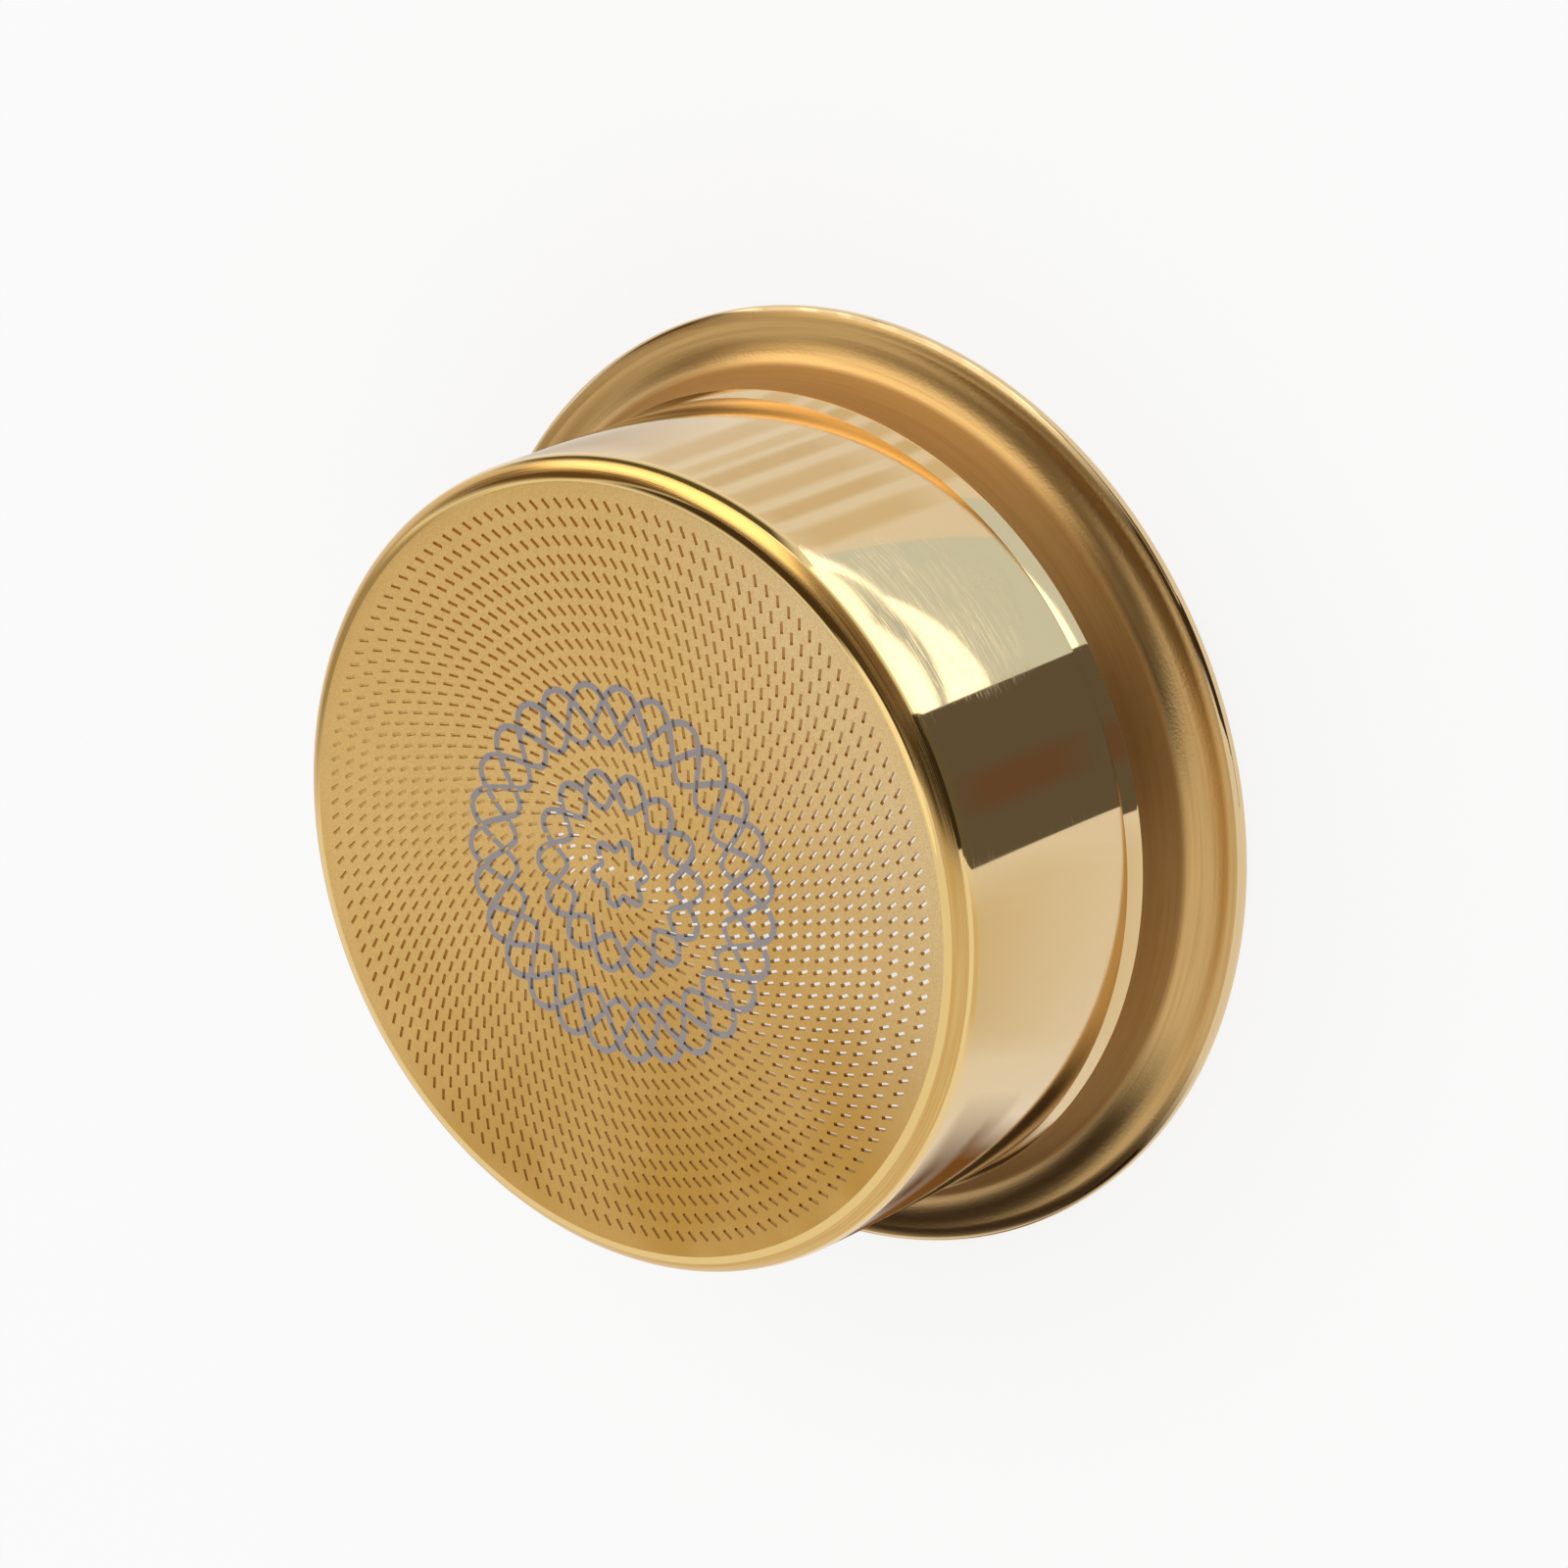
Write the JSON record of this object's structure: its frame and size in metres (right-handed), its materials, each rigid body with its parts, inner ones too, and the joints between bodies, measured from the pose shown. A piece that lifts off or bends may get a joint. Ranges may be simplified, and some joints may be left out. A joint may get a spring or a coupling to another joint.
{
  "type": "espresso filter basket",
  "caption": "Round flat-bottomed metal filter cup with a coved rim flange and a base perforated by rings of fine slanted slots.",
  "frame": {"origin": "centre of the mouth's rim plane, on which the basket stands upside down", "axes": "+Z along the axis from the mouth towards the perforated base"},
  "size_m": [0.0706, 0.0704, 0.026],
  "materials": {
    "coated_steel": "gold nitride coating on stainless steel, polished wall, fine blasted base and flange"
  },
  "bodies": {
    "root": {"filter_basket": "coated_steel"}
  },
  "joints": []
}
